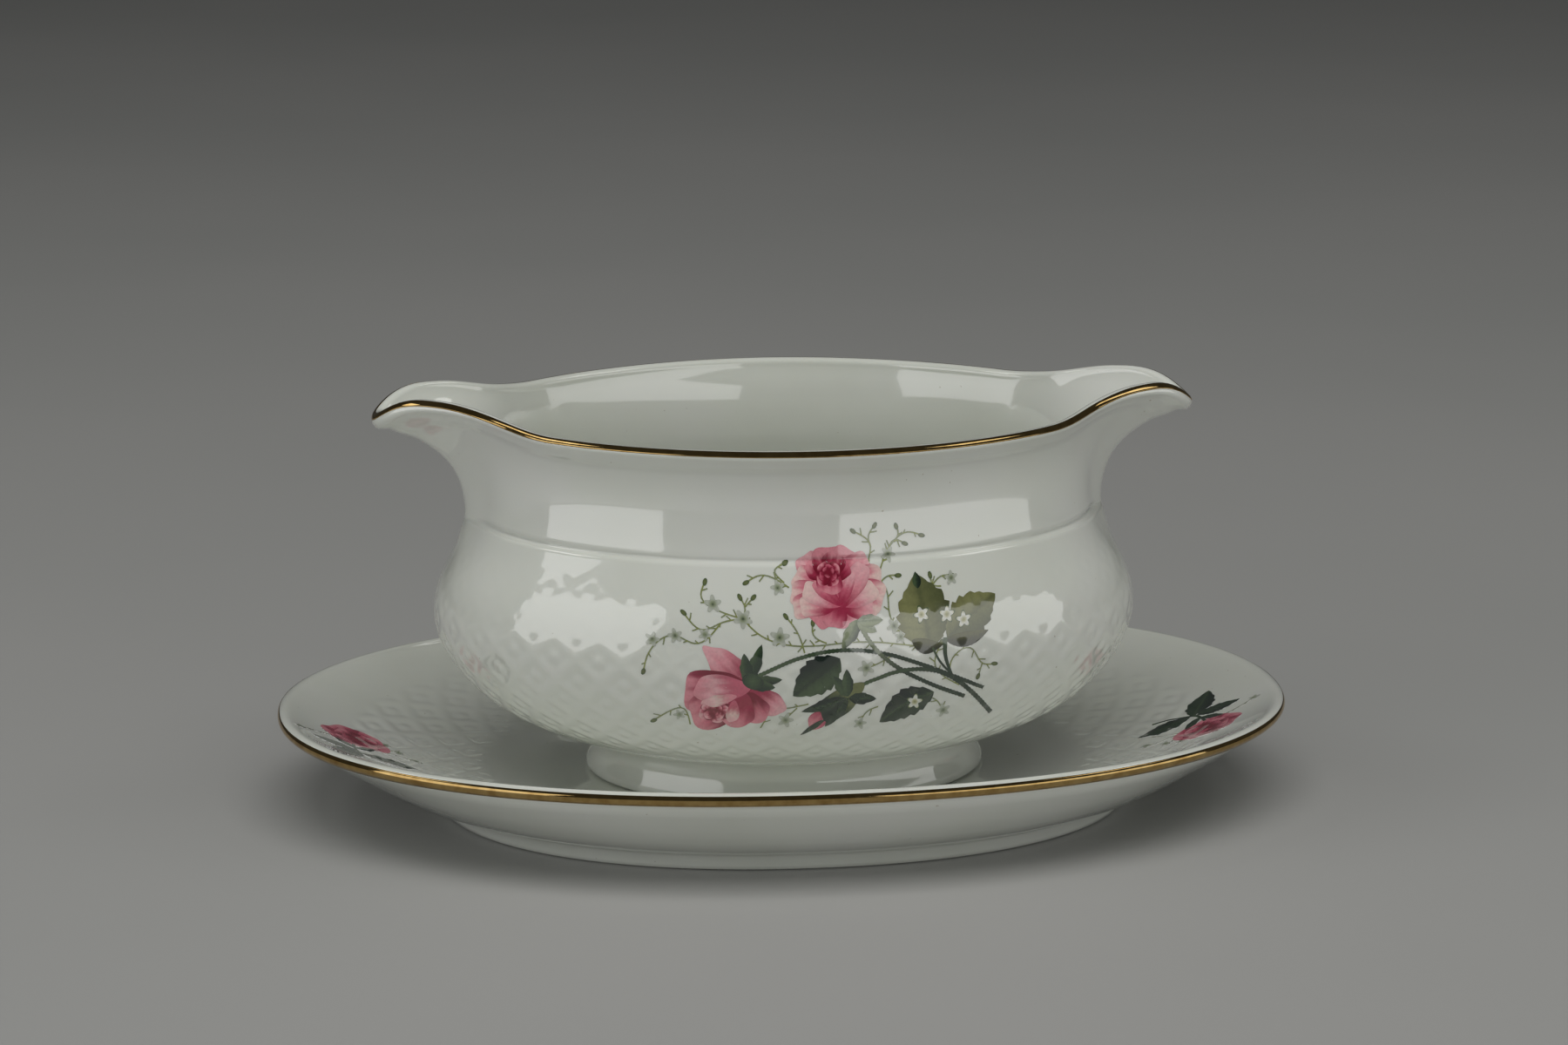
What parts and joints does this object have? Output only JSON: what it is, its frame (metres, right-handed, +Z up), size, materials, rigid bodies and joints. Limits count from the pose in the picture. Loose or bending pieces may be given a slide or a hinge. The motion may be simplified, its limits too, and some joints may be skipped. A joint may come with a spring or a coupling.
{
  "type": "gravy boat",
  "caption": "Oval porcelain gravy boat with a pouring lip at each end, resting on its own oval underplate.",
  "frame": {"origin": "centre of the underplate's foot ring on the table", "axes": "+X along the length from lip to lip, +Y across, +Z up"},
  "size_m": [0.24, 0.156, 0.0993],
  "materials": {
    "porcelain": "clear glossy glaze over white porcelain",
    "fired_gold": "thin burnished gold, lightly rubbed"
  },
  "bodies": {
    "underplate": {"underplate": "porcelain", "plate_gold_band": "fired_gold"},
    "boat": {"boat": "porcelain", "boat_gold_line": "fired_gold"}
  },
  "joints": [
    {"name": "boat_lift", "type": "slide", "parent": "underplate", "child": "boat", "axis": [0, 0, 1], "range_m": [0, 0.06]}
  ]
}
